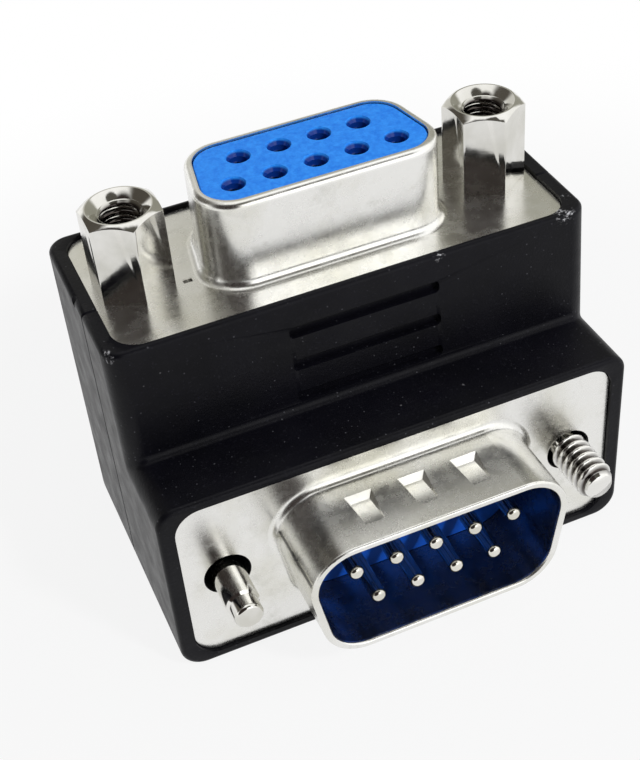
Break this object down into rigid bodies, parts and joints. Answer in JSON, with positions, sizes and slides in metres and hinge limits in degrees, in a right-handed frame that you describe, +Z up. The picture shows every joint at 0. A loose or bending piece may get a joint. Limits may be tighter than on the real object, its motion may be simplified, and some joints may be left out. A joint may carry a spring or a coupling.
{
  "type": "right-angle d-sub adapter",
  "caption": "Right-angle D-shell adapter: pin plug at the front, socket on top, stepped black housing, hex jacks and captive screws.",
  "frame": {"origin": "centre of the adapter's outline, on the surface that it stands on", "axes": "+X to the right along the row of contacts, +Y to the back, +Z up out of the socket; the plug faces -Y"},
  "size_m": [0.033, 0.0252, 0.0286],
  "materials": {
    "black_plastic": "black moulded plastic with a fine spark texture",
    "nickel_shell": "nickel-plated drawn steel, satin with a warm tarnish near the bends",
    "blue_insulator": "blue glass-filled plastic, lightly glossy",
    "nickel_jack": "bright nickel plate on turned hex bar",
    "screw_steel": "bright nickel plate",
    "clip_steel": "plain spring steel",
    "plated_contact": "bright plated brass",
    "tinned_wire": "tinned copper"
  },
  "bodies": {
    "adapter": {"front_housing": "black_plastic", "rear_housing": "black_plastic", "socket_shell": "nickel_shell", "socket_rear_shell": "nickel_shell", "plug_shell": "nickel_shell", "plug_rear_shell": "nickel_shell", "socket_insulator": "blue_insulator", "socket_rear_insulator": "blue_insulator", "plug_insulator": "blue_insulator", "plug_rear_insulator": "blue_insulator", "left_hex_jack": "nickel_jack", "right_hex_jack": "nickel_jack", "left_jack_nut": "nickel_jack", "right_jack_nut": "nickel_jack", "socket_contact_1": "plated_contact", "socket_contact_2": "plated_contact", "socket_contact_3": "plated_contact", "socket_contact_4": "plated_contact", "socket_contact_5": "plated_contact", "socket_contact_6": "plated_contact", "socket_contact_7": "plated_contact", "socket_contact_8": "plated_contact", "socket_contact_9": "plated_contact", "plug_pin_1": "plated_contact", "plug_pin_2": "plated_contact", "plug_pin_3": "plated_contact", "plug_pin_4": "plated_contact", "plug_pin_5": "plated_contact", "plug_pin_6": "plated_contact", "plug_pin_7": "plated_contact", "plug_pin_8": "plated_contact", "plug_pin_9": "plated_contact", "link_wire_1": "tinned_wire", "link_wire_2": "tinned_wire", "link_wire_3": "tinned_wire", "link_wire_4": "tinned_wire", "link_wire_5": "tinned_wire", "link_wire_6": "tinned_wire", "link_wire_7": "tinned_wire", "link_wire_8": "tinned_wire", "link_wire_9": "tinned_wire"},
    "left_clip": {"left_retaining_clip": "clip_steel"},
    "left_screw": {"left_captive_screw": "screw_steel"},
    "right_clip": {"right_retaining_clip": "clip_steel"},
    "right_screw": {"right_captive_screw": "screw_steel"}
  },
  "joints": [
    {"name": "left_screw_travel", "type": "slide", "parent": "adapter", "child": "left_clip", "axis": [0, 1, 0], "range_m": [0, 0.0023]},
    {"name": "left_screw_turn", "type": "hinge", "parent": "left_clip", "child": "left_screw", "pos_m": [-0.01249, -0.0067, 0.0073], "axis": [0, 1, 0], "continuous": true},
    {"name": "right_screw_travel", "type": "slide", "parent": "adapter", "child": "right_clip", "axis": [0, 1, 0], "range_m": [0, 0.0023]},
    {"name": "right_screw_turn", "type": "hinge", "parent": "right_clip", "child": "right_screw", "pos_m": [0.01249, -0.0067, 0.0073], "axis": [0, 1, 0], "continuous": true}
  ]
}
